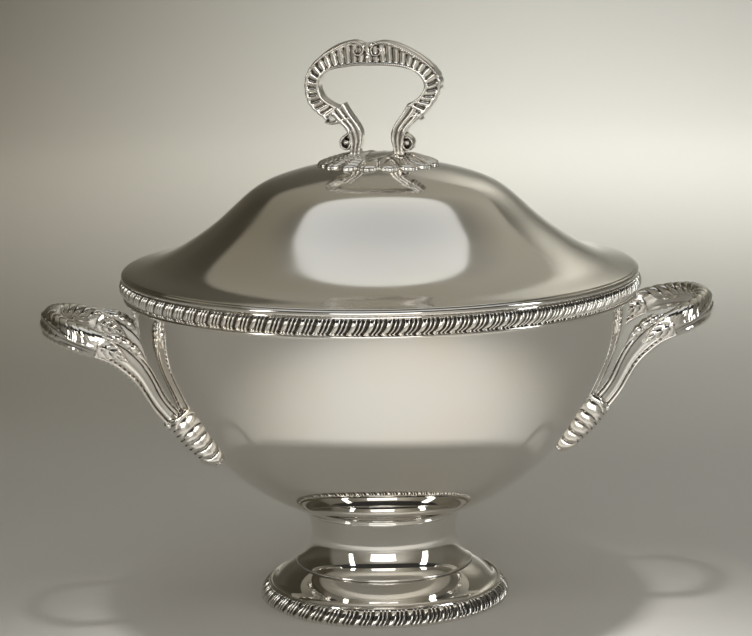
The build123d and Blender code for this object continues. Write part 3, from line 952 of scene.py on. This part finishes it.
def make_camera():
    """The tureen is seen from a little left of its front and above, with the camera turned a touch."""
    camera = bpy.data.cameras.new("camera")
    camera.sensor_fit = "HORIZONTAL"
    camera.sensor_width = 36
    camera.lens = CAMERA_LENS
    camera.clip_start, camera.clip_end = 0.05, 50
    heading, pitch, roll = (math.radians(a) for a in CAMERA_ANGLES)
    aim = Matrix.Rotation(-heading, 4, "Z") @ Matrix.Rotation(math.pi / 2 + pitch, 4, "X")
    holder = bpy.data.objects.new("camera", camera)
    holder.matrix_world = Matrix.Translation(CAMERA_PLACE) @ aim @ Matrix.Rotation(-roll, 4, "Z")
    bpy.context.scene.collection.objects.link(holder)
    bpy.context.scene.camera = holder


# Tones of the paper: the floor, and the wall low down and high up on each side. The wall's tones are painted
# shade and painted light, darkest high on the left.
PAPER_FLOOR = (0.66, 0.64, 0.6)
SHADED_PAPER_LEFT = (0.33, 0.3, 0.235)
LIT_PAPER_RIGHT = (0.61, 0.6, 0.545)
SHADED_PAPER_HIGH_LEFT = (0.2, 0.18, 0.135)
LIT_PAPER_HIGH_RIGHT = (0.6, 0.58, 0.51)


def stage_material():
    """Pale studio paper: an even floor, and a wall with painted shade, darker towards its upper left."""
    material = bpy.data.materials.new("studio_paper")
    material.use_nodes = True
    nodes, links = material.node_tree.nodes, material.node_tree.links
    shader = nodes["Principled BSDF"]
    shader.inputs["Roughness"].default_value = 0.75
    place = nodes.new("ShaderNodeTexCoord")
    split = nodes.new("ShaderNodeSeparateXYZ")
    links.new(place.outputs["Object"], split.inputs["Vector"])

    def ramp(axis, low, high, *stops):
        span = nodes.new("ShaderNodeMapRange")
        span.interpolation_type = "SMOOTHSTEP"
        span.inputs["From Min"].default_value = low
        span.inputs["From Max"].default_value = high
        links.new(split.outputs[axis], span.inputs["Value"])
        tones = nodes.new("ShaderNodeValToRGB")
        for element, (at, colour) in zip(tones.color_ramp.elements, stops):
            element.position = at
            element.color = (*colour, 1)
        links.new(span.outputs["Result"], tones.inputs["Fac"])
        return tones.outputs["Color"]

    # Painted shade on the wall: its colour darkens towards the left and higher up on the left.
    low_wall = ramp("X", -0.6, 0.7, (0, SHADED_PAPER_LEFT), (1, LIT_PAPER_RIGHT))
    high_wall = ramp("X", -2.5, 2.5, (0.1, SHADED_PAPER_HIGH_LEFT), (0.9, LIT_PAPER_HIGH_RIGHT))
    up = ramp("Z", 0.7, 1.5, (0, (0, 0, 0)), (1, (1, 1, 1)))
    away = ramp("Y", 0.0, 0.7, (0, (0, 0, 0)), (1, (1, 1, 1)))
    wall = colour_mix(nodes, links, up, low_wall, high_wall)
    links.new(colour_mix(nodes, links, away, PAPER_FLOOR, wall), shader.inputs["Base Color"])
    return material


def make_stage():
    """A round pale floor that curves up into a plain wall all round the tureen."""
    flat, bend, height = 2400.0, 1000.0, 2600.0
    gap = 0.05                                           # under the foot, so that no faces coincide
    floor_line = line((40, 0), (flat, 0), 16)
    curve = arc((flat, bend), bend, -90, 0, 24)
    wall_line = line((flat + bend, bend + 60), (flat + bend, height), 8)
    profile = np.vstack([floor_line, curve, wall_line])
    steps = 96
    angle = full_turn(steps)[:, None]
    r, z = profile[:, 0], profile[:, 1] - gap + 0 * angle
    points = np.stack([r * np.cos(angle), r * np.sin(angle), z], -1).reshape(-1, 3)
    faces = [f[::-1] for f in grid_faces(steps, len(profile), True, False)]
    faces.append(tuple(i * len(profile) for i in range(steps)))
    floor = new_piece("studio_floor", points, faces)
    floor.data.materials.append(stage_material())


def place_light(data, place, target, power, colour, mirrored):
    """mirrored is whether the polished metal shows the lamp itself."""
    data.energy = power
    data.color = colour
    light = bpy.data.objects.new(data.name, data)
    aim = (Vector(target) - Vector(place)).to_track_quat("-Z", "Y")
    light.matrix_world = Matrix.Translation(place) @ aim.to_matrix().to_4x4()
    light.visible_camera = False
    light.visible_glossy = mirrored
    bpy.context.scene.collection.objects.link(light)


def softbox(name, place, target, size, power, colour=(1, 1, 1), mirrored=True, spread=180,
            shape="RECTANGLE"):
    """A soft lamp of a size in metres; spread is the angle in degrees that it lights."""
    data = bpy.data.lights.new(name, "AREA")
    data.shape = shape
    data.spread = math.radians(spread)
    data.size, data.size_y = size
    place_light(data, place, target, power, colour, mirrored)


def pool(name, place, target, wide, power):
    """A soft round pool of light on the floor, from a lamp that opens wide degrees."""
    data = bpy.data.lights.new(name, "SPOT")
    data.spot_size = math.radians(wide)
    data.spot_blend = 1.0
    data.shadow_soft_size = 0.1
    place_light(data, place, target, power, (1, 0.995, 0.98), False)


# The room's own light from the front and from the two back corners.
AIR_FRONT = (0.035, 0.034, 0.032)
AIR_BACK_LEFT = (0.14, 0.125, 0.09)
AIR_BACK_RIGHT = (0.4, 0.38, 0.32)


def make_air():
    """Dim light from all round: darkest from the front and brightest from the back right."""
    world = bpy.data.worlds.new("studio_air")
    world.use_nodes = True
    nodes, links = world.node_tree.nodes, world.node_tree.links
    place = nodes.new("ShaderNodeTexCoord")
    split = nodes.new("ShaderNodeSeparateXYZ")
    links.new(place.outputs["Generated"], split.inputs["Vector"])

    def rise(axis, low, high):
        span = nodes.new("ShaderNodeMapRange")
        span.inputs["From Min"].default_value = low
        span.inputs["From Max"].default_value = high
        links.new(split.outputs[axis], span.inputs["Value"])
        return span.outputs["Result"]

    back = colour_mix(nodes, links, rise("X", -0.9, 0.8), AIR_BACK_LEFT, AIR_BACK_RIGHT)
    air = colour_mix(nodes, links, rise("Y", -0.1, 0.5), AIR_FRONT, back)
    links.new(air, nodes["Background"].inputs["Color"])
    bpy.context.scene.world = world


def make_light():
    softbox("overhead", (-0.03, 0.02, 1.35), (-0.03, 0.02, 0), (1.6, 0.96), 2.0, (0.97, 0.99, 1),
            shape="ELLIPSE")
    softbox("right_window", (1.5, -0.9, 0.75), (0, 0, 0.15), (0.3, 1.1), 5, (0.96, 0.98, 1))
    softbox("left_window", (-1.5, -0.9, 0.8), (0, 0, 0.15), (0.2, 1.0), 4, (1, 0.99, 0.96))
    softbox("front_window", (-0.4, -2.7, 0.95), (0, 0, 0.2), (1.9, 1.1), 13, (0.98, 0.99, 1))
    softbox("back_strip", (0.5, 2.0, 2.4), (0.5, 2.0, 0), (1.2, 1.9), 14, mirrored=False, spread=60)
    softbox("wall_glow", (0.9, 1.8, 1.6), (1.6, 3.4, 2.2), (1.0, 0.6), 7, mirrored=False, spread=90)
    pool("near_pool", (0.03, -0.1, 1.9), (0.01, -0.24, 0), 19, 120)
    pool("far_pool", (0, -1.2, 2.4), (0, -1.6, 0), 42, 260)
    softbox("front_wall_wash", (0, -1.9, 2.3), (0, -3.4, 0.9), (2.6, 0.6), 16, mirrored=False, spread=120)
    bpy.context.scene.view_settings.view_transform = "Standard"


make_camera()
make_stage()
make_light()
make_air()

bpy.context.view_layer.update()
